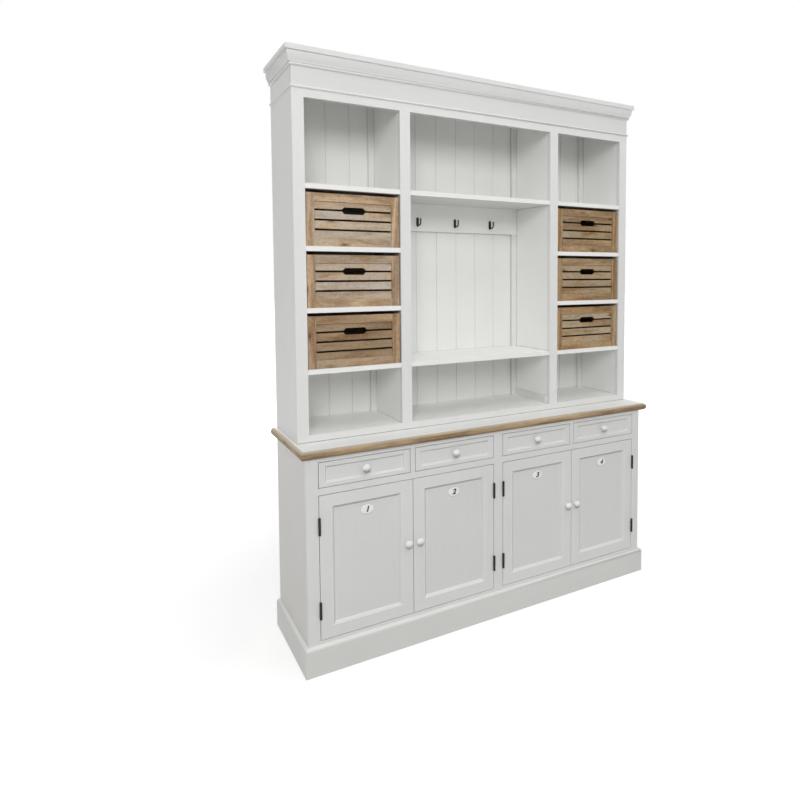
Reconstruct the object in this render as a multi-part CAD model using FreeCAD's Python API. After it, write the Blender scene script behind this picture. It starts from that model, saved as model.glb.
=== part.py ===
"""Two-part buffet cabinet: a base with four drawers and four doors, and a hutch with crates and a coat rail.

Millimetres. X runs to the right seen from the front, Y to the back and Z up. The origin is on the floor
under the middle of the cabinet.
"""
import FreeCAD, Part
import os
from math import atan2, cos, sin

Vector = FreeCAD.Vector

# Overall size
total_width = 1600.0
total_depth = 430.0
total_height = 2180.0
overhang = 24.0

# Boards and clearances
board = 18.0
frame_board = 20.0
back_board = 10.0
back_inset = 18.0
leaf_gap = 2.0
runner_clearance = 0.5
cut_overrun = 5.0

# Worktop with its bullnose edging
worktop_top = 796.0
worktop_thickness = 30.0
nosing_width = 12.0

# Face frame and skirting of the base
stile_width = 42.0
drawer_stile_width = 19.0
top_rail_height = 16.5
drawer_opening_height = 92.0
middle_rail_height = 24.5
bottom_rail_height = 55.0
bottom_rail_rise = 10.5
plinth_height = 105.0
plinth_proud = 14.0
base_shelf_share = 0.5
base_shelf_setback = 40.0

# Hutch, with the heights of its cells from the bottom up as shares of their sum
hutch_depth = 305.0
hutch_bottom_rail = 27.0
hutch_top_rail = 33.0
frieze_height = 117.0
cell_shares = (234, 220, 220, 220, 295)
column_width = 360.0
batten_width = 24.0
batten_depth = 14.0
foot_rail_height = 30.0
foot_rail_thickness = 8.0
foot_line_height = 2.0
foot_line_depth = 3.0

# Beadboard back
groove_pitch = 98.0
groove_offset = 14.0
groove_width = 4.0
groove_depth = 3.0

# Cornice and astragal
cap_thickness = 18.0
cornice_height = 47.0
cornice_bead_height = 10.0
cornice_bead_proud = 7.0
cornice_fillet_height = 3.0
cornice_fillet_proud = 9.0
cornice_top_proud = 17.0
ovolo_bulge = 2.4
astragal_height = 9.0
astragal_proud = 5.0

# Doors
door_stile = 45.0
door_rail = 43.0
moulding_width = 10.0
moulding_depth = 9.0
moulding_ledge_share = 0.4
moulding_flat_share = 0.15
panel_thickness = 7.0
panel_tongue = 8.0

# Drawers
drawer_border_side = 22.0
drawer_border_rail = 15.0
drawer_moulding_width = 5.5
drawer_moulding_depth = 7.0
drawer_box_rear_gap = 23.0
drawer_box_headroom = 19.5
drawer_box_clearance = 3.0
drawer_wall = 12.0
drawer_bottom = 8.0

# Knobs
knob_foot_radius = 9.0
knob_foot_thickness = 3.0
knob_neck_radius = 6.0
knob_neck_length = 9.0
knob_under_radius = 13.0
knob_under_length = 11.6
knob_head_radius = 16.0
knob_rim_length = 15.5
knob_length = 24.0
door_knob_share = 0.53

# Number plates
plate_width = 48.0
plate_height = 36.0
plate_thickness = 2.2
plate_edge = 1.2
plate_bevel = 2.0
plate_drop = 29.0

# Hinges
barrel_radius = 4.5
barrel_length = 60.0
barrel_gap = 0.3
hinge_leaf_thickness = 1.6
hinge_leaf_depth = 18.0
pin_tip_radius = 3.2
pin_tip_length = 3.0
hinge_inset = 109.0

# Coat rail and hooks
coat_rail_height = 117.0
coat_rail_thickness = 16.0
hook_spacing_share = 0.274
hook_rise = 39.0
hook_plate_width = 11.0
hook_plate_height = 40.0
hook_plate_thickness = 3.0
hook_plate_corner = 4.0
hook_rod_radius = 2.8
hook_reach = 18.0
hook_bend_radius = 13.0
hook_upright = 11.0
hook_ball_radius = 3.8
hook_rod_drop = 14.0

# Crates, with the heights of their slats from the bottom up as shares of their sum
crate_clearance = 4.0
crate_setback = 8.0
crate_headroom = 12.0
crate_bar = 30.0
crate_frame_thickness = 14.0
crate_wall = 10.0
crate_bottom_thickness = 8.0
slat_setback = 3.0
slat_thickness = 9.0
slat_gap = 7.0
slat_shares = (26.5, 28.3, 28.3, 25.9)
slot_width_share = 0.25
slot_bite_share = 0.32
slot_corner = 8.0

# Places worked out from the sizes above
body_half = total_width / 2 - overhang
back = total_depth / 2
base_front = -total_depth / 2 + overhang
base_inner_front = base_front + frame_board
back_panel = back - back_inset - back_board
side_inner = body_half - board
opening_outer = body_half - stile_width
opening_inner = stile_width / 2
door_meeting = (opening_outer + opening_inner) / 2
worktop_bottom = worktop_top - worktop_thickness
drawer_opening_top = worktop_bottom - top_rail_height
drawer_opening_bottom = drawer_opening_top - drawer_opening_height
deck_bottom = drawer_opening_bottom - board
door_opening_top = drawer_opening_bottom - middle_rail_height
door_opening_bottom = plinth_height + bottom_rail_rise
hinge_axis = barrel_radius + barrel_gap
hutch_front = back - hutch_depth
hutch_inner_front = hutch_front + frame_board
hutch_floor_top = worktop_top + hutch_bottom_rail
cap_bottom = total_height - cap_thickness
astragal_middle = cap_bottom - frieze_height
opening_top = astragal_middle - hutch_top_rail
ceiling_bottom = cap_bottom - board
column_inner = opening_outer - column_width
column_middle = opening_outer - column_width / 2
centre_half = column_inner - stile_width
share_height = (opening_top - hutch_floor_top) / sum(cell_shares)
shelf_tops = [hutch_floor_top + share_height * sum(cell_shares[:count]) for count in range(1, len(cell_shares))]
half_turn_share = 0.5 ** 0.5


def box(x_low, x_high, y_low, y_high, z_low, z_high):
    """A board between six planes."""
    corner = Vector(x_low, y_low, z_low)
    return Part.makeBox(x_high - x_low, y_high - y_low, z_high - z_low, corner)


def mirrored(shape):
    """The same piece on the other side of the middle."""
    return shape.mirror(Vector(0, 0, 0), Vector(1, 0, 0))


def both_sides(shape):
    """A right-hand piece and its left-hand twin."""
    return [mirrored(shape), shape]


def save(name, *shapes):
    """Writes one node: a single solid, or a group of separate ones."""
    whole = shapes[0] if len(shapes) == 1 else Part.makeCompound(list(shapes))
    whole.exportStep(os.path.join("parts", name + ".step"))


def outline_face(points, place):
    """A closed face. A pair of points in the list stands for the middle and the end of an arc."""
    edges = []
    here = points[0]
    for step in points[1:] + points[:1]:
        if isinstance(step[0], tuple):
            middle, end = step
            edges.append(Part.Arc(place(here), place(middle), place(end)).toShape())
        else:
            end = step
            edges.append(Part.LineSegment(place(here), place(end)).toShape())
        here = end
    return Part.Face(Part.Wire(edges))


def section(*points):
    """A moulding's cross section from (out, up) points, out towards -Y."""
    return outline_face(points, lambda point: Vector(0, -point[0], point[1]))


def lathe(*points):
    """A turned piece with its axis along -Y, from (radius, out) points."""
    face = outline_face(points, lambda point: Vector(point[0], -point[1], 0))
    return face.revolve(Vector(0, 0, 0), Vector(0, 1, 0), 360)


def plan_prism(points, bottom, top):
    """An upright prism on a plan outline."""
    corners = [Vector(x, y, bottom) for x, y in points]
    return Part.Face(Part.makePolygon(corners + corners[:1])).extrude(Vector(0, 0, top - bottom))


def cornered_plate(width, height, corner, thickness):
    """An upright plate with its four corners cut off, its middle at the origin and its thickness along +Y."""
    half_width = width / 2
    half_height = height / 2
    outline = [
        (-half_width, corner - half_height), (corner - half_width, -half_height),
        (half_width - corner, -half_height), (half_width, corner - half_height),
        (half_width, half_height - corner), (half_width - corner, half_height),
        (corner - half_width, half_height), (-half_width, half_height - corner)]
    points = [Vector(across, 0, up) for across, up in outline]
    return Part.Face(Part.makePolygon(points + points[:1])).extrude(Vector(0, thickness, 0))


def surround(face, half_width, front):
    """Runs a section round the front and both ends of a body, mitred at the two front corners."""
    bounds = face.BoundBox
    reach = -bounds.YMin
    corner = half_width + reach
    front_run = face.copy()
    front_run.translate(Vector(-corner, front, 0))
    front_run = front_run.extrude(Vector(2 * corner, 0, 0))
    front_plan = [(-half_width, front), (half_width, front), (corner, front - reach), (-corner, front - reach)]
    end_run = face.copy()
    end_run.rotate(Vector(0, 0, 0), Vector(0, 0, 1), 90)
    end_run.translate(Vector(half_width, front - reach, 0))
    end_run = end_run.extrude(Vector(0, back - front + reach, 0))
    end_plan = [(half_width, front), (corner, front - reach), (corner, back), (half_width, back)]
    front_piece = front_run.common(plan_prism(front_plan, bounds.ZMin, bounds.ZMax))
    end_piece = end_run.common(plan_prism(end_plan, bounds.ZMin, bounds.ZMax))
    return [front_piece.Solids[0]] + both_sides(end_piece.Solids[0])


def moulded_recess(x_low, x_high, z_low, z_high, face, width, depth):
    """The cut of a sunk panel: a slope, a narrow flat, then a second slope down to the panel."""
    cut = box(x_low, x_high, face - cut_overrun, face, z_low, z_high)
    ledge = moulding_ledge_share
    for outer, near, inner, far in ((0, 0, ledge, ledge), (ledge + moulding_flat_share, ledge, 1, 1)):
        start = outer * width
        end = inner * width
        cut = cut.fuse(Part.makeWedge(
            x_low + start, face + near * depth, z_low + start,
            z_low + end, x_low + end,
            x_high - start, face + far * depth, z_high - start,
            z_high - end, x_high - end))
    return cut


def knob(x, face, z):
    """A mushroom knob on a small foot, its crown part of a ball centred on the axis."""
    ball_middle = (knob_length ** 2 - knob_head_radius ** 2 - knob_rim_length ** 2) / (
        2 * (knob_length - knob_rim_length))
    ball_radius = knob_length - ball_middle
    half_angle = atan2(knob_head_radius, knob_rim_length - ball_middle) / 2
    crown_middle = (ball_radius * sin(half_angle), ball_middle + ball_radius * cos(half_angle))
    turned = lathe(
        (0, 0),
        (knob_foot_radius, 0),
        (knob_foot_radius, knob_foot_thickness),
        (knob_neck_radius, knob_neck_length),
        ((knob_under_radius, knob_under_length), (knob_head_radius, knob_rim_length)),
        (crown_middle, (0, knob_length)))
    turned.translate(Vector(x, face, z))
    return turned


def base_carcass():
    """Sides, back, cupboard floor, divider, shelves, and the deck and guides that carry the drawers."""
    save("base_sides", *both_sides(box(side_inner, body_half, base_inner_front, back, 0, worktop_bottom)))
    floor_bottom = door_opening_bottom - board
    floor = box(-side_inner, side_inner, base_inner_front, back_panel, floor_bottom, door_opening_bottom)
    deck = box(-side_inner, side_inner, base_inner_front, back_panel, deck_bottom, drawer_opening_bottom)
    save("cupboard_floor_and_drawer_deck", floor, deck)
    panel_rear = back_panel + back_board
    save("base_back", box(-side_inner, side_inner, back_panel, panel_rear, floor_bottom, worktop_bottom))
    divider_half = board / 2
    save("cupboard_divider",
         box(-divider_half, divider_half, base_inner_front, back_panel, door_opening_bottom, deck_bottom))
    shelf_height = door_opening_bottom + base_shelf_share * (deck_bottom - door_opening_bottom)
    shelf = box(divider_half, side_inner, base_inner_front + base_shelf_setback, back_panel,
                shelf_height - board, shelf_height)
    save("cupboard_shelves", *both_sides(shelf))
    half = drawer_stile_width / 2
    inner_guide = box(door_meeting - half, door_meeting + half, base_inner_front, back_panel,
                      drawer_opening_bottom, worktop_bottom)
    outer_guide = box(opening_outer, side_inner, base_inner_front, back_panel,
                      drawer_opening_bottom, worktop_bottom)
    centre_guide = box(-opening_inner, opening_inner, base_inner_front, back_panel,
                       drawer_opening_bottom, worktop_bottom)
    save("drawer_guides", centre_guide, *both_sides(inner_guide), *both_sides(outer_guide))


def base_face_frame():
    """Stiles and rails round the doors and drawers."""
    outer = box(opening_outer, body_half, base_front, base_inner_front, 0, worktop_bottom)
    centre = box(-opening_inner, opening_inner, base_front, base_inner_front,
                 door_opening_bottom, drawer_opening_top)
    half = drawer_stile_width / 2
    narrow = box(door_meeting - half, door_meeting + half, base_front, base_inner_front,
                 drawer_opening_bottom, drawer_opening_top)
    top = box(-opening_outer, opening_outer, base_front, base_inner_front, drawer_opening_top, worktop_bottom)
    bottom = box(-opening_outer, opening_outer, base_front, base_inner_front,
                 door_opening_bottom - bottom_rail_height, door_opening_bottom)
    middle = box(opening_inner, opening_outer, base_front, base_inner_front, door_opening_top, drawer_opening_bottom)
    stiles = [centre] + both_sides(outer) + both_sides(narrow)
    save("base_face_frame", *stiles, top, bottom, *both_sides(middle))


def plinth():
    """A skirting round the front and ends, with a rounded top edge."""
    round_middle = plinth_proud * half_turn_share
    face = section(
        (0, 0),
        (plinth_proud, 0),
        (plinth_proud, plinth_height - plinth_proud),
        ((round_middle, plinth_height - plinth_proud + round_middle), (0, plinth_height)))
    save("plinth", *surround(face, body_half, base_front))


def worktop():
    """A painted top with a bare oak bullnose round the front and ends."""
    panel_half = total_width / 2 - nosing_width
    panel_front = -total_depth / 2 + nosing_width
    save("worktop", box(-panel_half, panel_half, panel_front, back, worktop_bottom, worktop_top))
    middle = (worktop_top + worktop_bottom) / 2
    face = section((0, worktop_bottom), ((nosing_width, middle), (0, worktop_top)))
    save("oak_nosing", *surround(face, panel_half, panel_front))


def hutch_carcass():
    """Sides with their linings, dividers, floor, ceiling and the grooved back."""
    save("hutch_sides", *both_sides(box(side_inner, body_half, hutch_inner_front, back, worktop_top, cap_bottom)))
    floor = box(-side_inner, side_inner, hutch_inner_front, back_panel, hutch_floor_top - board, hutch_floor_top)
    ceiling = box(-side_inner, side_inner, hutch_inner_front, back_panel, ceiling_bottom, cap_bottom)
    save("hutch_floor_and_ceiling", floor, ceiling)
    save("side_linings", *both_sides(
        box(opening_outer, side_inner, hutch_inner_front, back_panel, hutch_floor_top, ceiling_bottom)))
    save("hutch_dividers", *both_sides(
        box(centre_half, column_inner, hutch_inner_front, back_panel, hutch_floor_top, ceiling_bottom)))
    panel = box(-side_inner, side_inner, back_panel, back_panel + back_board, worktop_top, cap_bottom)
    reach = side_inner - groove_width
    first = -int((reach + groove_offset) / groove_pitch)
    last = int((reach - groove_offset) / groove_pitch)
    for step in range(first, last + 1):
        panel = panel.cut(groove(groove_offset + step * groove_pitch))
    save("beadboard_back", panel)


def groove(x):
    """A V groove in the front of the back panel."""
    half = groove_width / 2
    plan = [(x - half, back_panel), (x, back_panel + groove_depth), (x + half, back_panel)]
    return plan_prism(plan, worktop_top, cap_bottom)


def hutch_face_frame():
    """Stiles, rails and the plain frieze board above them. A fine rebate marks the joint with the worktop."""
    joint_line = box(-body_half, body_half, hutch_front, hutch_front + foot_line_depth,
                     worktop_top, worktop_top + foot_line_height)
    outer = box(opening_outer, body_half, hutch_front, hutch_inner_front, worktop_top, astragal_middle)
    inner = box(centre_half, column_inner, hutch_front, hutch_inner_front, hutch_floor_top, opening_top)
    bottom = box(-opening_outer, opening_outer, hutch_front, hutch_inner_front, worktop_top, hutch_floor_top)
    top = box(-opening_outer, opening_outer, hutch_front, hutch_inner_front, opening_top, astragal_middle)
    save("hutch_face_frame", *both_sides(outer.cut(joint_line)), *both_sides(inner), bottom.cut(joint_line), top)
    save("frieze", box(-body_half, body_half, hutch_front, hutch_inner_front, astragal_middle, cap_bottom))


def notched_shelf(x_low, x_high, top):
    """A shelf from the face of the frame to the back, notched round the corner battens."""
    shelf = box(x_low, x_high, hutch_front, back_panel, top - board, top)
    for low, high in ((x_low, x_low + batten_width), (x_high - batten_width, x_high)):
        shelf = shelf.cut(box(low, high, back_panel - batten_depth, back_panel, top - board, top))
    return shelf


def hutch_shelves():
    """Shelves in each column, two in the middle, the battens in the rear corners and two low foot rails."""
    column = [notched_shelf(column_inner, opening_outer, top) for top in shelf_tops]
    save("column_shelves", *column, *[mirrored(shelf) for shelf in column])
    middle_tops = (shelf_tops[0], shelf_tops[-1])
    save("centre_shelves", *[notched_shelf(-centre_half, centre_half, top) for top in middle_tops])
    battens = []
    for low in (column_inner, opening_outer - batten_width, centre_half - batten_width):
        battens += both_sides(box(low, low + batten_width, back_panel - batten_depth, back_panel,
                                  hutch_floor_top, ceiling_bottom))
    foot_rail = box(centre_half - foot_rail_thickness, centre_half, hutch_inner_front, back_panel - batten_depth,
                    hutch_floor_top, hutch_floor_top + foot_rail_height)
    save("corner_battens", *battens, *both_sides(foot_rail))


def cornice():
    """A cap board over an ovolo with a bead below it, and the astragal under the frieze."""
    cap_front = hutch_front - overhang
    cornice_bottom = cap_bottom - cornice_height
    save("cornice_cap", box(-total_width / 2, total_width / 2, cap_front, back, cap_bottom, total_height))
    bead_radius = cornice_bead_height / 2
    bead_straight = cornice_bead_proud - bead_radius
    bead_middle = cornice_bottom + bead_radius
    bead_top = cornice_bottom + cornice_bead_height
    ovolo_bottom = bead_top + cornice_fillet_height
    ovolo_middle = (
        (cornice_fillet_proud + cornice_top_proud) / 2 + ovolo_bulge,
        (ovolo_bottom + cap_bottom) / 2)
    face = section(
        (0, cornice_bottom),
        (bead_straight, cornice_bottom),
        ((cornice_bead_proud, bead_middle), (bead_straight, bead_top)),
        (cornice_fillet_proud, bead_top),
        (cornice_fillet_proud, ovolo_bottom),
        (ovolo_middle, (cornice_top_proud, cap_bottom)),
        (0, cap_bottom))
    save("cornice_moulding", *surround(face, body_half, hutch_front))
    half = astragal_height / 2
    bead = section(
        (0, astragal_middle - half),
        ((astragal_proud, astragal_middle), (0, astragal_middle + half)))
    save("astragal", *surround(bead, body_half, hutch_front))


def coat_hook(x, face, middle):
    """An iron hook: a plate with cut corners and a rod that runs out, round and up to a ball."""
    plate = cornered_plate(hook_plate_width, hook_plate_height, hook_plate_corner, hook_plate_thickness)
    plate.translate(Vector(x, face - hook_plate_thickness, middle))
    rod_start = Vector(x, face - hook_plate_thickness / 2, middle - hook_rod_drop)
    bend_start = rod_start - Vector(0, hook_reach, 0)
    bend_end = bend_start + Vector(0, -hook_bend_radius, hook_bend_radius)
    bend_out = hook_bend_radius * half_turn_share
    bend_middle = bend_start + Vector(0, -bend_out, hook_bend_radius - bend_out)
    rod_end = bend_end + Vector(0, 0, hook_upright)
    path = Part.Wire([
        Part.LineSegment(rod_start, bend_start).toShape(),
        Part.Arc(bend_start, bend_middle, bend_end).toShape(),
        Part.LineSegment(bend_end, rod_end).toShape()])
    ring = Part.Wire(Part.makeCircle(hook_rod_radius, rod_start, Vector(0, -1, 0)))
    rod = path.makePipeShell([ring], True, False)
    ball = Part.makeSphere(hook_ball_radius, rod_end)
    return plate.fuse([rod, ball]).removeSplitter()


def coat_rail():
    """A rail board under the top centre shelf with three hooks."""
    face = back_panel - coat_rail_thickness
    top = shelf_tops[-1] - board
    bottom = top - coat_rail_height
    rail = box(-centre_half, centre_half, face, back_panel, bottom, top)
    for low in (-centre_half, centre_half - batten_width):
        rail = rail.cut(box(low, low + batten_width, back_panel - batten_depth, back_panel, bottom, top))
    save("coat_rail", rail)
    spacing = 2 * centre_half * hook_spacing_share
    save("coat_hooks", *[coat_hook(step * spacing, face, bottom + hook_rise) for step in (-1, 0, 1)])


def door_bounds(number):
    """The left and right edges of a door, counted from the left."""
    left_of_middle = door_meeting - leaf_gap / 2
    right_of_middle = door_meeting + leaf_gap / 2
    inner = (opening_inner + leaf_gap, left_of_middle)
    outer = (right_of_middle, opening_outer - leaf_gap)
    low, high = (outer, inner, inner, outer)[number - 1]
    return (-high, -low) if number < 3 else (low, high)


def door(number):
    """A framed door with a sunk panel, a knob by the meeting edge and an oval number plate."""
    low, high = door_bounds(number)
    bottom = door_opening_bottom + leaf_gap
    top = door_opening_top - leaf_gap
    rear = base_front + frame_board
    inner = (low + door_stile, high - door_stile, bottom + door_rail, top - door_rail)
    frame = box(low, high, base_front, rear, bottom, top)
    frame = frame.cut(moulded_recess(*inner, base_front, moulding_width, moulding_depth))
    window = (inner[0] + moulding_width, inner[1] - moulding_width,
              inner[2] + moulding_width, inner[3] - moulding_width)
    panel_face = base_front + moulding_depth
    knob_height = bottom + door_knob_share * (top - bottom)
    frame = frame.cut(box(window[0], window[1], base_front, rear, window[2], window[3]))
    pocket = (window[0] - panel_tongue, window[1] + panel_tongue)
    pocket_height = (window[2] - panel_tongue, window[3] + panel_tongue)
    frame = frame.cut(box(*pocket, panel_face, rear, *pocket_height))
    save("door_%d_frame" % number, frame)
    save("door_%d_panel" % number, box(*pocket, panel_face, panel_face + panel_thickness, *pocket_height))
    knob_x = high - door_stile / 2 if number in (1, 3) else low + door_stile / 2
    save("door_%d_knob" % number, knob(knob_x, base_front, knob_height))
    save("door_%d_number_plate" % number, number_plate((low + high) / 2, panel_face, window[3] - plate_drop))


def number_plate(x, face, z):
    """An oval plate with a bevelled rim."""
    turn = FreeCAD.Rotation(Vector(1, 0, 0), 90)

    def oval(inset, out):
        ellipse = Part.Ellipse(Vector(0, 0, 0), plate_width / 2 - inset, plate_height / 2 - inset)
        wire = Part.Wire(ellipse.toShape())
        wire.Placement = FreeCAD.Placement(Vector(x, face - out, z), turn)
        return wire

    body = Part.Face(oval(0, 0)).extrude(Vector(0, -plate_edge, 0))
    crown = Part.makeLoft([oval(0, plate_edge), oval(plate_bevel, plate_thickness)], True)
    return body.fuse(crown).removeSplitter()


def hinges():
    """Two butt hinges on each door: a barrel with its pin's tips, and a leaf on the edge of the stile."""
    axis_y = base_front - hinge_axis
    pieces = []
    inner_leaf = (opening_inner, opening_inner + hinge_leaf_thickness)
    outer_leaf = (opening_outer - hinge_leaf_thickness, opening_outer)
    for axis_x, leaf_bounds in (
            (opening_inner + leaf_gap / 2, inner_leaf),
            (opening_outer - leaf_gap / 2, outer_leaf)):
        for middle in (door_opening_bottom + hinge_inset, door_opening_top - hinge_inset):
            low = middle - barrel_length / 2
            high = middle + barrel_length / 2
            barrel = Part.makeCylinder(barrel_radius, barrel_length, Vector(axis_x, axis_y, low))
            tip_low = Vector(axis_x, axis_y, low - pin_tip_length)
            lower_tip = Part.makeCone(0, pin_tip_radius, pin_tip_length, tip_low)
            upper_tip = Part.makeCone(pin_tip_radius, 0, pin_tip_length, Vector(axis_x, axis_y, high))
            leaf = box(*leaf_bounds, axis_y, base_front + hinge_leaf_depth, low, high)
            pieces += both_sides(barrel.fuse([lower_tip, upper_tip, leaf]).removeSplitter())
    save("hinges", *pieces)


def drawer(number):
    """A drawer: its moulded front, its box and a knob in the middle."""
    half = drawer_stile_width / 2
    inner = (opening_inner, door_meeting - half)
    outer = (door_meeting + half, opening_outer)
    low, high = (outer, inner, inner, outer)[number - 1]
    if number < 3:
        low, high = -high, -low
    bottom = drawer_opening_bottom + leaf_gap
    top = drawer_opening_top - leaf_gap
    rear = base_front + frame_board
    front = box(low + leaf_gap, high - leaf_gap, base_front, rear, bottom, top)
    front = front.cut(moulded_recess(
        low + leaf_gap + drawer_border_side, high - leaf_gap - drawer_border_side,
        bottom + drawer_border_rail, top - drawer_border_rail,
        base_front, drawer_moulding_width, drawer_moulding_depth))
    save("drawer_%d_front" % number, front)
    box_bottom = drawer_opening_bottom + runner_clearance
    box_top = drawer_opening_top - drawer_box_headroom
    box_low = low + drawer_box_clearance
    box_high = high - drawer_box_clearance
    box_rear = back_panel - drawer_box_rear_gap
    tray = box(box_low, box_high, rear, box_rear, box_bottom, box_top)
    tray = tray.cut(box(box_low + drawer_wall, box_high - drawer_wall,
                        rear + drawer_wall, box_rear - drawer_wall,
                        box_bottom + drawer_bottom, box_top + cut_overrun))
    save("drawer_%d_box" % number, tray)
    panel_face = base_front + drawer_moulding_depth
    save("drawer_%d_knob" % number, knob((low + high) / 2, panel_face, (bottom + top) / 2))


def crate(middle, floor, ceiling):
    """A slatted crate: a front frame, slats with a hand slot in the top gap, plain sides, back and bottom."""
    half = column_width / 2 - crate_clearance
    low = middle - half
    high = middle + half
    front = hutch_front + crate_setback
    rear = back_panel - batten_depth
    top = ceiling - crate_headroom
    frame_rear = front + crate_frame_thickness
    frame = box(low, high, front, frame_rear, floor, top)
    frame = frame.cut(box(low + crate_bar, high - crate_bar, front, frame_rear, floor + crate_bar, top - crate_bar))
    walls = box(low, high, frame_rear, rear, floor, top)
    walls = walls.cut(box(low + crate_wall, high - crate_wall, frame_rear, rear - crate_wall,
                          floor + crate_bottom_thickness, top + cut_overrun))
    slats = []
    slat_front = front + slat_setback
    slat_rear = slat_front + slat_thickness
    slat_low = floor + crate_bar
    share_width = (top - floor - 2 * crate_bar - slat_gap * (len(slat_shares) - 1)) / sum(slat_shares)
    for share in slat_shares:
        slat_top = slat_low + share * share_width
        slats.append(box(low + crate_bar, high - crate_bar, slat_front, slat_rear, slat_low, slat_top))
        slat_low = slat_top + slat_gap
    slot_middle = top - crate_bar - slat_shares[-1] * share_width - slat_gap / 2
    slot_height = slat_gap + 2 * slot_bite_share * slat_shares[-2] * share_width
    hand_slot = cornered_plate(2 * half * slot_width_share, slot_height, slot_corner, slat_thickness)
    hand_slot.translate(Vector(middle, slat_front, slot_middle))
    whole = frame.fuse([walls] + slats).removeSplitter()
    return whole.cut(hand_slot).removeSplitter()


os.makedirs("parts", exist_ok=True)
base_carcass()
base_face_frame()
plinth()
worktop()
hutch_carcass()
hutch_face_frame()
hutch_shelves()
cornice()
coat_rail()
hinges()
for number in (1, 2, 3, 4):
    door(number)
    drawer(number)
for level, floor in enumerate(shelf_tops[:-1], start=1):
    ceiling = shelf_tops[level] - board
    save("left_crate_%d" % level, crate(-column_middle, floor, ceiling))
    save("right_crate_%d" % level, crate(column_middle, floor, ceiling))
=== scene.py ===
"""Looks of the painted buffet cabinet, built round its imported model. Metres; +X right, +Y back, +Z up."""

import math
import random

import bmesh
import bpy
from mathutils import Matrix, Vector


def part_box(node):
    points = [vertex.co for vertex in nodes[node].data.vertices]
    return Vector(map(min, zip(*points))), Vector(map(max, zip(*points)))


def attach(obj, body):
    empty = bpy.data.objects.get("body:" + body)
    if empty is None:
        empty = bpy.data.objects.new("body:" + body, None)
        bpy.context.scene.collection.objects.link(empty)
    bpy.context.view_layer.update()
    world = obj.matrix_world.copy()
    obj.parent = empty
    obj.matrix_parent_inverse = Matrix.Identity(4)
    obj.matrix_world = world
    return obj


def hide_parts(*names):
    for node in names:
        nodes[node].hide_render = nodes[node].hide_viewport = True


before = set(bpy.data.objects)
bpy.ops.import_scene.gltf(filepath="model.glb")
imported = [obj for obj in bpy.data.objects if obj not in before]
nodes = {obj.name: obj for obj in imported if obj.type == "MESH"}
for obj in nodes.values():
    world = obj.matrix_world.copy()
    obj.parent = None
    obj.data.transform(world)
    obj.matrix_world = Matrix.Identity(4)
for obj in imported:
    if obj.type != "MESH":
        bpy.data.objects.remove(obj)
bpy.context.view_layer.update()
scene = bpy.context.scene


# Materials

class Nodes:
    """The node tree of a material or a world, built one call at a time."""

    def __init__(self, owner):
        owner.use_nodes = True
        self.tree = owner.node_tree
        self.tree.nodes.clear()

    def add(self, kind, inputs=None, **settings):
        made = self.tree.nodes.new(kind)
        for key, value in settings.items():
            setattr(made, key, value)
        for key, value in (inputs or {}).items():
            self.put(made.inputs[key], value)
        return made

    def put(self, socket, value):
        if isinstance(value, bpy.types.NodeSocket):
            self.tree.links.new(value, socket)
        else:
            socket.default_value = value

    def math(self, operation, first, second=0.0, clamp=False):
        made = self.add("ShaderNodeMath", {0: first, 1: second}, operation=operation, use_clamp=clamp)
        return made.outputs[0]

    def mix(self, share, first, second, blend="MIX"):
        made = self.add("ShaderNodeMix", data_type="RGBA", blend_type=blend)
        self.put(made.inputs["Factor"], share)
        self.put(made.inputs[6], first)
        self.put(made.inputs[7], second)
        return made.outputs[2]

    def place(self):
        """The point in the object's own space."""
        return self.add("ShaderNodeTexCoord").outputs["Object"]

    def scaled(self, vector, scale):
        return self.add("ShaderNodeMapping", {"Vector": vector, "Scale": scale}).outputs[0]

    def noise(self, vector, scale, detail=3.0, roughness=0.55, distortion=0.0):
        made = self.add("ShaderNodeTexNoise", {
            "Vector": vector, "Scale": scale, "Detail": detail,
            "Roughness": roughness, "Distortion": distortion})
        return made.outputs["Fac"]

    def spread(self, value, low, high, new_low=0.0, new_high=1.0):
        made = self.add("ShaderNodeMapRange", {
            "Value": value, "From Min": low, "From Max": high, "To Min": new_low, "To Max": new_high})
        return made.outputs[0]

    def bump(self, height, strength, distance, normal=None):
        made = self.add("ShaderNodeBump", {"Height": height, "Strength": strength, "Distance": distance})
        if normal is not None:
            self.put(made.inputs["Normal"], normal)
        return made.outputs[0]

    def slope(self):
        """How far the surface faces up: 1 on top, 0 on a wall, -1 below."""
        normal = self.add("ShaderNodeNewGeometry").outputs["Normal"]
        return self.add("ShaderNodeSeparateXYZ", {0: normal}).outputs["Z"]

    def looked_at(self):
        """1 for a ray from the camera, off a mirror or through glass, and 0 for one that only lights."""
        rays = self.add("ShaderNodeLightPath").outputs
        indirect = self.math("MAXIMUM", rays["Is Glossy Ray"], rays["Is Transmission Ray"])
        return self.math("MAXIMUM", rays["Is Camera Ray"], indirect)


class Shader(Nodes):
    """The nodes of a material with one principled surface."""

    def __init__(self, name):
        self.material = bpy.data.materials.new(name)
        super().__init__(self.material)
        self.surface = self.add("ShaderNodeBsdfPrincipled")
        self.add("ShaderNodeOutputMaterial", {"Surface": self.surface.outputs[0]})

    def set(self, **inputs):
        """Sets inputs of the surface, whose names have _ for each space here."""
        for key, value in inputs.items():
            self.put(self.surface.inputs[key.replace("_", " ")], value)


def grey(value, warm=0.0):
    return (value, value * (1 - warm * 0.5), value * (1 - warm), 1.0)


def scaled_colour(colour, share):
    """A colour with its red, green and blue multiplied by share."""
    return tuple(channel * share for channel in colour[:3]) + (1.0,)


def rgb(red, green, blue):
    """A colour written as 0 to 255 screen values."""
    def linear(channel):
        share = channel / 255
        return share / 12.92 if share <= 0.04045 else ((share + 0.055) / 1.055) ** 2.4
    return (linear(red), linear(green), linear(blue), 1.0)


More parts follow.
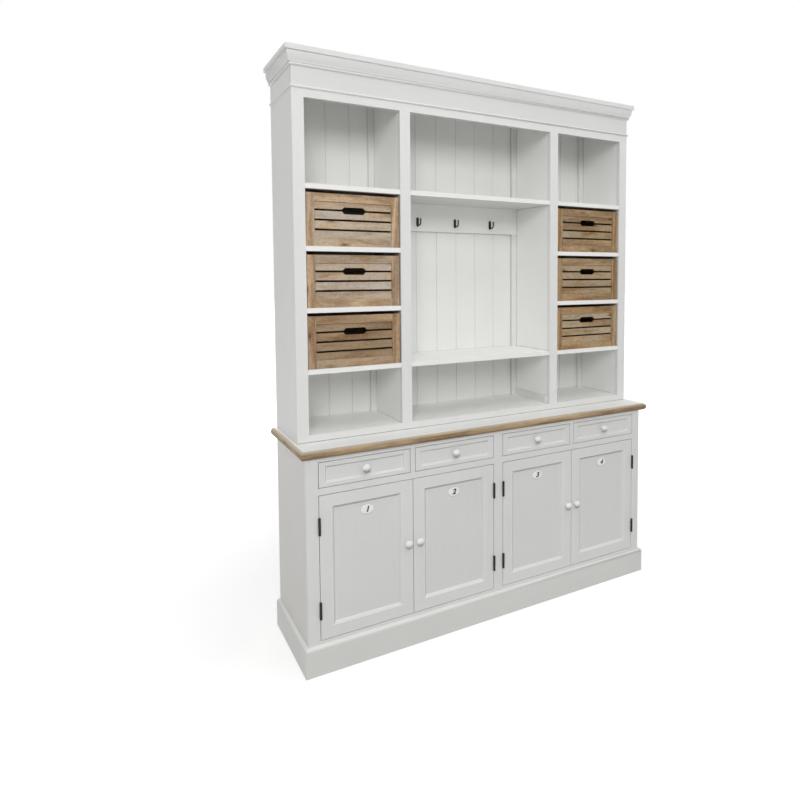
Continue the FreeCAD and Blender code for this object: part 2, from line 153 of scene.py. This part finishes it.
ALL_WAYS = (38.0, 38.0, 38.0)
ALONG_X = (5.0, 190.0, 190.0)
ALONG_Z = (190.0, 190.0, 5.0)

CREVICE_SHADE_GREY = rgb(92, 89, 82)
UNDERSIDE_SHADE_GREY = rgb(150, 148, 142)
TOP_HIGHLIGHT_WHITE = rgb(254, 254, 252)
CREVICE_REACH = 0.006


def paint(name, colour, brush, roughness=0.42, underside_shade=(-0.2, -0.7, 0.4), crevice_shading=(0.08, 0.5, 0.45),
          top_highlight=0.65, crevice_colour=CREVICE_SHADE_GREY):
    """Brushed satin paint. brush is the scale of the brush marks on X, Y and Z, small along the stroke.
    Slopes that face up get a painted highlight, up to a given share. Slopes that face down get painted shade:
    its setting says where it starts, where it is full, and how much there is. Crevices get painted shade from
    ambient occlusion: its setting says how open a crevice is where the shade is full and where it ends, and
    how much there is. Its colour is dust grey, or on the cornice a pale white that paints light into its
    shadows."""
    s = Shader(name)
    place = s.place()
    cloud = s.noise(place, 2.3, 3.0)
    strokes = s.noise(s.scaled(place, brush), 1.0, 4.0, 0.6, 0.4)
    peel = s.noise(place, 420.0, 2.0)
    darker = scaled_colour(colour, 0.955)
    tone = s.mix(s.spread(cloud, 0.3, 0.7), darker, colour)
    tone = s.mix(s.spread(strokes, 0.35, 0.75, 0.0, 0.10), tone, grey(0.93, 0.03))
    facing = s.slope()
    # painted highlight: slopes that face up are made paler
    tone = s.mix(s.spread(facing, 0.25, 0.7, 0.0, top_highlight), tone, TOP_HIGHLIGHT_WHITE)
    # painted shade: slopes that face down are made darker
    shade_from, shade_to, shade_share = underside_shade
    tone = s.mix(s.spread(facing, shade_from, shade_to, 0.0, shade_share), tone, UNDERSIDE_SHADE_GREY)
    # painted shade in crevices, found by ambient occlusion; a white crevice colour paints light there instead
    crevice = s.add("ShaderNodeAmbientOcclusion", {"Distance": CREVICE_REACH}, samples=4).outputs["AO"]
    closed, opened, crevice_share = crevice_shading
    tone = s.mix(s.spread(crevice, closed, opened, crevice_share, 0.0), tone, crevice_colour)
    rough = s.spread(strokes, 0.3, 0.7, roughness - 0.05, roughness + 0.07)
    normal = s.bump(strokes, 0.16, 0.0006)
    normal = s.bump(peel, 0.05, 0.0003, normal)
    s.set(Base_Color=tone, Roughness=rough, Normal=normal)
    return s.material


def wood_tone(s, grain, light, dark):
    """Colour and height of planed wood. grain runs along its X, in metres."""
    wander = s.noise(s.scaled(grain, (2.2, 14.0, 14.0)), 1.0, 3.0)
    stretched = s.scaled(grain, (0.55, 11.0, 11.0))
    warped = s.add("ShaderNodeVectorMath", {0: stretched, 1: wander}, operation="ADD")
    rings = s.add("ShaderNodeTexWave", {
        "Vector": warped.outputs[0], "Scale": 0.9, "Distortion": 2.2, "Detail": 3.0, "Detail Scale": 1.2},
        wave_type="BANDS", bands_direction="Y").outputs["Fac"]
    strands = s.noise(s.scaled(grain, (18.0, 130.0, 130.0)), 1.0, 5.0, 0.7)
    fibres = s.noise(s.scaled(grain, (40.0, 420.0, 420.0)), 1.0, 5.0, 0.7)
    pores = s.noise(s.scaled(grain, (30.0, 900.0, 900.0)), 1.0, 2.0)
    fine = s.math("ADD", s.math("MULTIPLY", strands, 0.5), s.math("MULTIPLY", fibres, 0.25))
    streak = s.math("ADD", s.math("MULTIPLY", rings, 0.25), fine)
    tone = s.mix(s.spread(streak, 0.34, 0.64), dark, light)
    pore_share = s.spread(pores, 0.60, 0.72, 0.0, 0.5)
    tone = s.mix(pore_share, tone, scaled_colour(dark, 0.6))
    return tone, streak, pores


def crate_wood(name, light, dark, weathered, weather_share):
    """Bare sawn boards. The mesh gives each point its place along the grain, and each board its own tone:
    how light it is, how grey with weather, and how cold."""
    s = Shader(name)
    grain = s.add("ShaderNodeAttribute", attribute_name="grain").outputs["Vector"]
    board = s.add("ShaderNodeAttribute", attribute_name="tone").outputs["Vector"]
    parts = s.add("ShaderNodeSeparateXYZ", {0: board})
    tone, streak, pores = wood_tone(s, grain, light, dark)
    blotch = s.noise(s.scaled(grain, (5.0, 22.0, 22.0)), 1.0, 4.0)
    grey_share = s.math("MULTIPLY", s.spread(blotch, 0.34, 0.6), parts.outputs["Y"], clamp=True)
    tone = s.mix(s.math("MULTIPLY", grey_share, weather_share), tone, weathered)
    mottle = s.noise(s.scaled(grain, (75.0, 130.0, 130.0)), 1.0, 3.0, 0.6)
    tone = s.mix(s.spread(mottle, 0.52, 0.72, 0.0, 0.4), tone, scaled_colour(weathered, 1.15))
    tone = s.mix(s.spread(mottle, 0.46, 0.3, 0.0, 0.4), tone, dark)
    knots = s.add("ShaderNodeTexVoronoi", {
        "Vector": s.scaled(grain, (7.5, 21.0, 21.0)), "Scale": 1.0, "Randomness": 1.0}).outputs["Distance"]
    knot = s.spread(knots, 0.115, 0.05)
    ring = s.spread(knots, 0.24, 0.11, 0.0, 0.45)
    knot_brown = (dark[0] * 0.42, dark[1] * 0.34, dark[2] * 0.28, 1.0)
    tone = s.mix(ring, tone, scaled_colour(dark, 0.75))
    tone = s.mix(s.math("MULTIPLY", knot, 0.85), tone, knot_brown)
    # level holds each face's brightness, with the painted shade of a crate's inside faces
    level, cold = parts.outputs["X"], parts.outputs["Z"]
    half_cold = s.math("ADD", s.math("MULTIPLY", cold, 0.5), 0.5)
    shade = s.add("ShaderNodeCombineColor", {
        "Red": level, "Green": s.math("MULTIPLY", level, half_cold), "Blue": s.math("MULTIPLY", level, cold)})
    tone = s.mix(1.0, tone, shade.outputs[0], "MULTIPLY")
    height = s.math("ADD", streak, s.math("MULTIPLY", pores, -0.6))
    rough = s.spread(streak, 0.2, 0.8, 0.78, 0.62)
    s.set(Base_Color=tone, Roughness=rough, Normal=s.bump(height, 0.35, 0.0006))
    s.set(Specular_IOR_Level=0.3)
    return s.material


def oak(name, end_x, front_y):
    """Oiled oak edging round a top that ends at end_x on both sides and at front_y. The grain follows X on
    the front run and Y on the two end runs, with a mitre between. Painted highlight on top, painted shade
    below."""
    s = Shader(name)
    place = s.place()
    xyz = s.add("ShaderNodeSeparateXYZ", {0: place})
    past_end = s.math("SUBTRACT", s.math("ABSOLUTE", xyz.outputs["X"]), end_x)
    past_front = s.math("SUBTRACT", front_y, xyz.outputs["Y"])
    on_end = s.math("GREATER_THAN", past_end, past_front)
    other_log = 3.7
    turned = s.add("ShaderNodeCombineXYZ", {
        "X": s.math("ADD", xyz.outputs["Y"], other_log), "Y": xyz.outputs["X"],
        "Z": xyz.outputs["Z"]}).outputs[0]
    grain = s.add("ShaderNodeMix", {"Factor": on_end}, data_type="VECTOR")
    s.put(grain.inputs[4], place)
    s.put(grain.inputs[5], turned)
    tone, streak, pores = wood_tone(s, grain.outputs[1], rgb(184, 158, 119), rgb(124, 98, 67))
    facing = s.slope()
    # painted highlight on the top of the bullnose, painted shade under it
    painted_highlight, shaded, seam_brown = rgb(220, 206, 184), rgb(104, 82, 56), rgb(84, 60, 38)
    tone = s.mix(s.spread(facing, 0.3, 0.9, 0.0, 0.7), tone, painted_highlight)
    tone = s.mix(s.spread(facing, 0.0, -0.6, 0.0, 0.6), tone, shaded)
    seam = s.spread(s.math("ABSOLUTE", s.math("SUBTRACT", past_end, past_front)), 0.0006, 0.0002)
    tone = s.mix(s.math("MULTIPLY", seam, 0.7), tone, seam_brown)
    height = s.math("ADD", streak, s.math("MULTIPLY", pores, -0.8))
    rough = s.spread(streak, 0.2, 0.8, 0.56, 0.46)
    s.set(Base_Color=tone, Roughness=rough, Normal=s.bump(height, 0.3, 0.0005))
    return s.material


def iron(name):
    """Black lacquered iron, slightly uneven and worn lighter in patches."""
    s = Shader(name)
    place = s.place()
    dents = s.noise(place, 160.0, 3.0)
    rub = s.noise(place, 60.0, 2.0)
    tone = s.mix(s.spread(rub, 0.5, 0.75, 0.0, 0.35), grey(0.012), grey(0.06, 0.15))
    rough = s.spread(dents, 0.3, 0.7, 0.36, 0.55)
    s.set(Base_Color=tone, Roughness=rough, Normal=s.bump(dents, 0.3, 0.0006))
    s.set(Metallic=0.35)
    return s.material


def enamel(name, colour):
    """Fired enamel with a faint orange peel, and painted shade on the slopes that face down."""
    s = Shader(name)
    place = s.place()
    peel = s.noise(place, 240.0, 2.0)
    cloud = s.noise(place, 90.0, 3.0)
    darker = scaled_colour(colour, 0.93)
    tone = s.mix(s.spread(cloud, 0.35, 0.7), darker, colour)
    facing = s.slope()
    # painted shade: slopes that face down turn grey
    tone = s.mix(s.spread(facing, -0.15, -0.6, 0.0, 0.8), tone, rgb(96, 94, 90))
    rough = s.spread(cloud, 0.3, 0.7, 0.16, 0.24)
    s.set(Base_Color=tone, Roughness=rough, Normal=s.bump(peel, 0.08, 0.0004))
    s.set(Coat_Weight=0.4, Coat_Roughness=0.08)
    return s.material


# lit and shaded copies of one white paint: paler on tops, shelves and the hutch inside, darker on base,
# frieze, plinth
WHITE = rgb(237, 237, 235)
SHADED_LOW_WHITE = rgb(230, 230, 229)
LIT_WHITE = rgb(252, 252, 250)
EDGE_WHITE = rgb(246, 246, 244)
# how strong the painted shade is on the base's slopes that face down
BASE_UNDERSIDE_SHADE = (-0.1, -0.6, 0.7)
painted = {
    "flat": paint("paint_flat", WHITE, ALL_WAYS, crevice_shading=(0.1, 0.7, 0.9)),
    # the cornice and astragal crevices are filled with white, which lifts their shadow: painted light
    "x": paint("paint_strokes_x", rgb(232, 232, 231), ALONG_X, underside_shade=(-0.2, -0.7, 0.0),
               crevice_shading=(0.3, 0.98, 1.0), crevice_colour=rgb(255, 255, 253)),
    "z": paint("paint_strokes_z", WHITE, ALONG_Z),
    "frieze": paint("paint_frieze", rgb(228, 228, 227), ALONG_X),
    "bright": paint("paint_bright", LIT_WHITE, ALL_WAYS),
    "trim": paint("paint_trim", LIT_WHITE, ALONG_Z, crevice_shading=(0.2, 0.95, 0.6)),
    "batten": paint("paint_batten", rgb(236, 236, 233), ALONG_Z, crevice_shading=(0.08, 0.5, 0.2)),
    "back": paint("paint_back", rgb(246, 246, 243), ALONG_Z, crevice_shading=(0.1, 0.8, 0.7)),
    # rounded edges get this paler paint: a painted highlight
    "edge": paint("paint_edge", EDGE_WHITE, (90.0, 90.0, 90.0), roughness=0.34),
    "inside": paint("paint_inside", rgb(226, 225, 219), (40.0, 40.0, 40.0), roughness=0.5),
    # the knobs' lower half gets painted shade
    "knob": paint("paint_knob", EDGE_WHITE, (60.0, 60.0, 60.0), roughness=0.27, underside_shade=(0.2, -0.5, 0.9)),
    "base_flat": paint("paint_base_flat", SHADED_LOW_WHITE, ALL_WAYS, underside_shade=BASE_UNDERSIDE_SHADE),
    "base_x": paint("paint_base_x", SHADED_LOW_WHITE, ALONG_X, underside_shade=BASE_UNDERSIDE_SHADE, top_highlight=0.85),
    "panel": paint("paint_panel", rgb(226, 226, 224), ALONG_Z),
    "plinth": paint("paint_plinth", rgb(223, 223, 219), ALONG_X),
    "warm": paint("paint_warm", rgb(224, 221, 217), ALONG_Z),
}
black_iron = iron("black_iron")
plate_enamel = enamel("plate_enamel", rgb(253, 253, 251))
number_black = enamel("number_black", rgb(38, 38, 40))
worktop_low, worktop_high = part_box("worktop")
oak_edge = oak("oak_edge", end_x=worktop_high.x, front_y=worktop_low.y)
crate_woods = {
    "left": crate_wood(
        "crate_wood_light", light=rgb(208, 180, 144), dark=rgb(156, 124, 90),
        weathered=rgb(201, 192, 179), weather_share=1.0),
    "right": crate_wood(
        "crate_wood_dark", light=rgb(187, 152, 108), dark=rgb(135, 102, 65),
        weathered=rgb(192, 180, 155), weather_share=0.9),
}

JOINERY_PAINT = {
    "astragal": "x", "base_back": "z", "base_face_frame": "base_flat", "base_sides": "warm",
    "beadboard_back": "back", "centre_shelves": "bright", "coat_rail": "bright",
    "column_shelves": "bright", "corner_battens": "batten", "cornice_cap": "x", "cornice_moulding": "x",
    "cupboard_divider": "inside", "cupboard_floor_and_drawer_deck": "inside",
    "cupboard_shelves": "inside", "drawer_guides": "inside", "frieze": "frieze",
    "hutch_dividers": "trim", "hutch_face_frame": "flat", "hutch_floor_and_ceiling": "bright",
    "hutch_sides": "z", "plinth": "plinth", "side_linings": "trim", "worktop": "bright",
}
BOARD_EDGE, FRONT_EDGE, PLATE_EDGE = 0.0009, 0.0008, 0.0014
SHARP_ANGLE = math.radians(40)
WELD_REACH = 0.00001


def wear(node, material):
    """Gives a CAD node its material."""
    slots = nodes[node].data.materials
    slots.clear()
    slots.append(material)


def soften(node, width, segments=2, painted_highlight=True):
    """Rounds a CAD node's sharp edges with modifiers, and where asked gives them the paler edge paint, a
    painted highlight.
    """
    thing = nodes[node]
    if painted_highlight:
        thing.data.materials.append(painted["edge"])
    weld = thing.modifiers.new("weld", "WELD")
    weld.merge_threshold = WELD_REACH
    bevel = thing.modifiers.new("soft_edges", "BEVEL")
    bevel.width = width
    bevel.segments = segments
    bevel.limit_method = "ANGLE"
    bevel.angle_limit = SHARP_ANGLE
    bevel.harden_normals = True
    bevel.material = 1 if painted_highlight else -1


for node, key in JOINERY_PAINT.items():
    wear(node, painted[key])
    soften(node, BOARD_EDGE)
for index in (1, 2, 3, 4):
    wear("door_%d_frame" % index, painted["base_flat"])
    wear("door_%d_panel" % index, painted["panel"])
    wear("door_%d_knob" % index, painted["knob"])
    wear("door_%d_number_plate" % index, plate_enamel)
    wear("drawer_%d_front" % index, painted["base_x"])
    wear("drawer_%d_box" % index, painted["inside"])
    wear("drawer_%d_knob" % index, painted["knob"])
    soften("door_%d_frame" % index, FRONT_EDGE)
    soften("drawer_%d_front" % index, FRONT_EDGE)
    soften("drawer_%d_box" % index, BOARD_EDGE)
    soften("door_%d_number_plate" % index, PLATE_EDGE, 3, painted_highlight=False)
wear("oak_nosing", oak_edge)
wear("coat_hooks", black_iron)
wear("hinges", black_iron)


# Pieces built here

class Boards:
    """Boards gathered into one mesh. The points keep their place along the grain and the faces their tone.
    heart is the middle of the box that they make, and blue the range of how cold a board may be."""

    EDGE = 0.0010
    SQUARE = 0.999
    INWARD = 0.02
    # brightness of a crate's inside faces, a painted shade, and of its rounded edges, worn pale
    DUSKY_LEVEL, WORN_LEVEL = 0.42, 1.1

    def __init__(self, seed, heart, blue):
        self.rng = random.Random(seed)
        self.heart = Vector(heart)
        self.blue = blue
        self.points, self.faces, self.grain, self.tone = [], [], [], []

    def add(self, outline, rear, front, along, bright=(0.92, 1.06), weather=(0.1, 1.0), dusky=False):
        """A board from an (x, z) outline. along is 0, 1 or 2: the axis its grain follows.
        A flag puts painted shade on the faces that look at the heart, the crate's inside, and the rounded
        edges are worn pale."""
        board = bmesh.new()
        ring = [board.verts.new((x, front, z)) for x, z in outline]
        face = board.faces.new(ring)
        back = bmesh.ops.extrude_face_region(board, geom=[face])
        moved = [item for item in back["geom"] if isinstance(item, bmesh.types.BMVert)]
        bmesh.ops.translate(board, vec=(0, rear - front, 0), verts=moved)
        bmesh.ops.recalc_face_normals(board, faces=board.faces)
        bmesh.ops.bevel(board, geom=board.edges[:], offset=self.EDGE, segments=2, profile=0.6,
                        affect="EDGES", clamp_overlap=True)
        offset = Vector((self.rng.uniform(0, 40), self.rng.uniform(0, 9), self.rng.uniform(0, 9)))
        tone = (self.rng.uniform(*bright), self.rng.uniform(*weather), self.rng.uniform(*self.blue))
        order = [along] + [axis for axis in (0, 1, 2) if axis != along]
        start = len(self.points)
        board.verts.index_update()
        for vertex in board.verts:
            self.points.append(vertex.co.copy())
            self.grain.append(Vector([vertex.co[axis] for axis in order]) + offset)
        for face in board.faces:
            self.faces.append([start + vertex.index for vertex in face.verts])
            square = max(abs(share) for share in face.normal) > self.SQUARE
            inward = (self.heart - face.calc_center_median()).dot(face.normal) > self.INWARD
            level = self.DUSKY_LEVEL if dusky and inward else 1.0 if square else self.WORN_LEVEL
            self.tone.append((tone[0] * level, tone[1], tone[2]))
        board.free()

    def plank(self, x, y, z, along, **settings):
        """A board between three pairs of planes."""
        outline = [(x[0], z[0]), (x[1], z[0]), (x[1], z[1]), (x[0], z[1])]
        self.add(outline, y[1], y[0], along, **settings)

    def make(self, name, material):
        mesh = bpy.data.meshes.new(name)
        mesh.from_pydata(self.points, [], self.faces)
        for key, domain, values in (("grain", "POINT", self.grain), ("tone", "FACE", self.tone)):
            attribute = mesh.attributes.new(key, "FLOAT_VECTOR", domain)
            attribute.data.foreach_set("vector", [share for value in values for share in value])
        mesh.materials.append(material)
        thing = bpy.data.objects.new(name, mesh)
        scene.collection.objects.link(thing)
        return thing


SLAT_SHARES = (26.5, 28.3, 28.3, 25.9)
TOP_SLAT = 3
SLOT_BITE_SHARE = 0.32
SLOT_HALF_WIDTH = 0.044
SLOT_CORNER = 0.008


def slot_notch(middle, level, depth):
    """Points of the hand slot's notch into a slat from its edge at level; depth is signed."""
    left, right = middle - SLOT_HALF_WIDTH, middle + SLOT_HALF_WIDTH
    before_corner = level + depth - math.copysign(SLOT_CORNER, depth)
    return [
        (left, level), (left, before_corner), (left + SLOT_CORNER, level + depth),
        (right - SLOT_CORNER, level + depth), (right, before_corner), (right, level)]


def tones(level):
    """The range of brightness round a level."""
    return (level * 0.95, level * 1.06)


def crate(node, side, seed, rails, slats, weather, blue=(0.9, 1.05)):
    """A slatted crate in place of its CAD node, from the same measures.
    rails and slats are the two tones, weather how grey its slats may be, and blue how cold its boards."""
    low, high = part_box(node)
    bar, wall, bottom, gap = 0.030, 0.010, 0.008, 0.007
    frame_depth, slat_front, slat_rear = 0.014, 0.003, 0.012
    hair, joint = 0.0002, 0.0009
    frame_rear = low.y + frame_depth
    slat = (low.y + slat_front, low.y + slat_rear)
    inner = (low.x + bar, high.x - bar)
    middle = (low.x + high.x) / 2
    boards = Boards(seed, (middle, (low.y + high.y) / 2, (low.z + high.z) / 2), blue)
    for x in ((low.x, inner[0] - hair), (inner[1] + hair, high.x)):
        boards.plank(x, (low.y, frame_rear), (low.z, high.z), 2, bright=tones(rails), weather=(0.0, 0.4))
    for z in ((low.z, low.z + bar), (high.z - bar, high.z)):
        boards.plank(inner, (low.y, frame_rear), z, 0, bright=tones(rails), weather=(0.0, 0.5))
    unit = (high.z - low.z - 2 * bar - TOP_SLAT * gap) / sum(SLAT_SHARES)
    bite = SLOT_BITE_SHARE * SLAT_SHARES[TOP_SLAT - 1] * unit
    left, right = inner[0] + joint, inner[1] - joint
    level = low.z + bar
    for index, share in enumerate(SLAT_SHARES):
        top = level + share * unit
        upper = top - joint if index == TOP_SLAT else top
        outline = [(left, level), (right, level), (right, upper), (left, upper)]
        if index == TOP_SLAT - 1:
            outline[3:3] = slot_notch(middle, top, -bite)[::-1]
        if index == TOP_SLAT:
            outline[1:1] = slot_notch(middle, level, bite)
        boards.add(outline, slat[1], slat[0], 0, tones(slats), weather)
        level = top + gap
    # the sides, back and bottom, with painted shade on their inside faces
    third = (high.z - low.z) / 3
    for step in range(3):
        z = (low.z + third * step, low.z + third * (step + 1))
        for x in ((low.x, low.x + wall), (high.x - wall, high.x)):
            boards.plank(x, (frame_rear, high.y), z, 1, dusky=True)
        boards.plank((low.x + wall, high.x - wall), (high.y - wall, high.y), z, 0, dusky=True)
    boards.plank((low.x + wall, high.x - wall), (frame_rear, high.y - wall), (low.z, low.z + bottom), 0,
                 dusky=True)
    thing = boards.make(node + "_boards", crate_woods[side])
    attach(thing, node)
    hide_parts(node)


# the looks of the crates of each column, from the top down
CRATES = {
    "left": (
        {"seed": 15, "rails": 0.97, "slats": 0.95, "weather": (0.4, 1.0)},
        {"seed": 22, "rails": 0.92, "slats": 0.96, "weather": (0.6, 1.0)},
        {"seed": 29, "rails": 0.80, "slats": 0.61, "weather": (0.0, 0.3), "blue": (0.80, 0.94)}),
    "right": (
        {"seed": 16, "rails": 0.93, "slats": 0.88, "weather": (0.2, 0.8)},
        {"seed": 23, "rails": 0.89, "slats": 0.92, "weather": (0.2, 0.9)},
        {"seed": 30, "rails": 0.93, "slats": 0.98, "weather": (0.4, 1.0)}),
}
for side, looks in CRATES.items():
    stack = sorted(
        (name for name in nodes if name.startswith(side + "_crate")),
        key=lambda name: -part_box(name)[0].z)
    for name, look in zip(stack, looks):
        crate(name, side, **look)


def number(text, body, plate):
    """A plain numeral that stands a hair proud of its oval plate."""
    low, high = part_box(plate)
    sunk = 0.0001
    curve = bpy.data.curves.new("number_" + text, "FONT")
    curve.body = text
    curve.size = 0.028
    curve.shear = 0.28
    curve.extrude = 0.0002
    curve.offset = 0.0015
    curve.align_x = "CENTER"
    curve.align_y = "CENTER"
    curve.materials.append(number_black)
    thing = bpy.data.objects.new("number_" + text, curve)
    thing.location = ((low.x + high.x) / 2, low.y + sunk, (low.z + high.z) / 2)
    thing.rotation_euler = (math.radians(90), 0, 0)
    scene.collection.objects.link(thing)
    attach(thing, body)


for index in (1, 2, 3, 4):
    number(str(index), "door_%d" % index, "door_%d_number_plate" % index)


# Surroundings

def studio_floor():
    """A wide pale floor that reads white to the camera and keeps a soft shadow."""
    mesh = bpy.data.meshes.new("studio_floor")
    reach = 30.0
    corners = [(-reach, -reach, 0), (reach, -reach, 0), (reach, reach, 0), (-reach, reach, 0)]
    mesh.from_pydata(corners, [], [(0, 1, 2, 3)])
    thing = bpy.data.objects.new("studio_floor", mesh)
    scene.collection.objects.link(thing)
    s = Shader("studio_floor")
    away = s.add("ShaderNodeVectorMath", {0: s.place()}, operation="LENGTH").outputs["Value"]
    near, far, near_glow, far_glow = 1.0, 4.0, 0.45, 1.0
    glow = s.spread(away, near, far, near_glow, far_glow)
    s.set(Base_Color=grey(0.82), Roughness=0.9, Specular_IOR_Level=0.0, Emission_Color=grey(1.0),
          Emission_Strength=s.math("MULTIPLY", s.looked_at(), glow))
    mesh.materials.append(s.material)


def studio_world(strength):
    """A world that lights by strength and reads white where it is seen, mirrored or looked through to."""
    world = bpy.data.worlds.new("studio")
    scene.world = world
    sky = Nodes(world)
    level = sky.spread(sky.looked_at(), 0.0, 1.0, strength, 1.0)
    background = sky.add("ShaderNodeBackground", {"Color": grey(1.0), "Strength": level})
    sky.add("ShaderNodeOutputWorld", {"Surface": background.outputs[0]})


def soft_box(name, place, aim, width, height, power):
    """A large lamp that looks at a point."""
    lamp = bpy.data.lights.new(name, "AREA")
    lamp.shape = "RECTANGLE"
    lamp.size = width
    lamp.size_y = height
    lamp.energy = power
    thing = bpy.data.objects.new(name, lamp)
    thing.location = place
    thing.rotation_euler = (Vector(aim) - Vector(place)).to_track_quat("-Z", "Y").to_euler()
    scene.collection.objects.link(thing)


studio_floor()
studio_world(0.2)
# name, place, aim, width, height and power in watts
LAMPS = (
    ("key_light", (-2.65, -5.2, 3.7), (0.0, 0.0, 1.1), 2.3, 2.3, 148.0),
    ("fill_light", (3.4, -4.6, 3.0), (0.0, 0.0, 1.1), 2.2, 2.2, 21.0),
    ("top_light", (0.0, -1.4, 4.6), (0.0, 0.0, 0.5), 3.4, 2.4, 42.0),
    ("left_light", (-4.0, 0.8, 1.8), (0.0, 0.0, 1.3), 2.2, 2.2, 15.0),
    ("right_light", (4.0, 0.8, 1.6), (0.0, 0.0, 1.1), 2.2, 2.2, 26.0),
    ("rear_light", (0.5, 4.4, 2.2), (0.0, 0.0, 1.0), 2.6, 2.2, 42.0),
)
for lamp in LAMPS:
    soft_box(*lamp)


PHOTO_WIDTH = 800
SENSOR_WIDTH = 36.0


def camera(place, yaw, pitch, roll, focal, centre):
    """A camera from a fit to the square photograph: angles in degrees, focal length and centre in pixels."""
    yaw, pitch, roll = (math.radians(angle) for angle in (yaw, pitch, roll))
    ahead = Vector((math.sin(yaw) * math.cos(pitch), math.cos(yaw) * math.cos(pitch), math.sin(pitch)))
    right = ahead.cross(Vector((0, 0, 1))).normalized()
    up = right.cross(ahead)
    across = right * math.cos(roll) + up * math.sin(roll)
    upright = up * math.cos(roll) - right * math.sin(roll)
    data = bpy.data.cameras.new("camera")
    data.sensor_width = SENSOR_WIDTH
    data.lens = focal / PHOTO_WIDTH * SENSOR_WIDTH
    data.shift_x = (PHOTO_WIDTH / 2 - centre[0]) / PHOTO_WIDTH
    data.shift_y = (centre[1] - PHOTO_WIDTH / 2) / PHOTO_WIDTH
    data.clip_start, data.clip_end = 0.05, 200.0
    thing = bpy.data.objects.new("camera", data)
    turn = Matrix((across, upright, -ahead)).transposed()
    thing.matrix_world = Matrix.Translation(place) @ turn.to_4x4()
    scene.collection.objects.link(thing)
    scene.camera = thing


camera((-1.36095, -2.35061, 1.39629), yaw=31.48, pitch=-3.19, roll=-0.07, focal=639.64, centre=(490, 310))

scene.view_settings.view_transform = "Standard"
